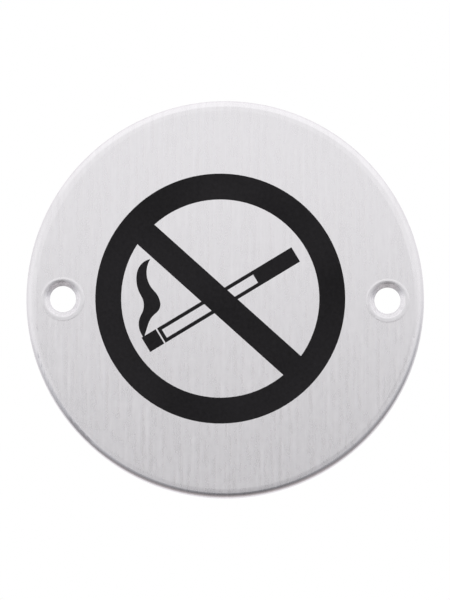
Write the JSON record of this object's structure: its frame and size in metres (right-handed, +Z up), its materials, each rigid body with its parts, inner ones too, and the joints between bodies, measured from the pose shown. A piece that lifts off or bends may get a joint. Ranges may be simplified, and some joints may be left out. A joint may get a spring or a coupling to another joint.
{
  "type": "no smoking sign",
  "caption": "Round satin steel door sign with a rounded edge, countersunk screw holes and a recessed black no smoking symbol.",
  "frame": {"origin": "middle of the flat back face, where the sign lies against the door or wall", "axes": "+Z up, the face looks along -Y and the back along +Y, +X to the right as seen from the front; the screw holes lie on the X axis"},
  "size_m": [0.076, 0.0015, 0.076],
  "materials": {
    "satin_steel": "satin stainless steel, brushed in one upright direction",
    "black_enamel": "matt black enamel paint filled into the etched recess"
  },
  "bodies": {
    "root": {"sign_plate": "satin_steel", "symbol_enamel": "black_enamel"}
  },
  "joints": []
}
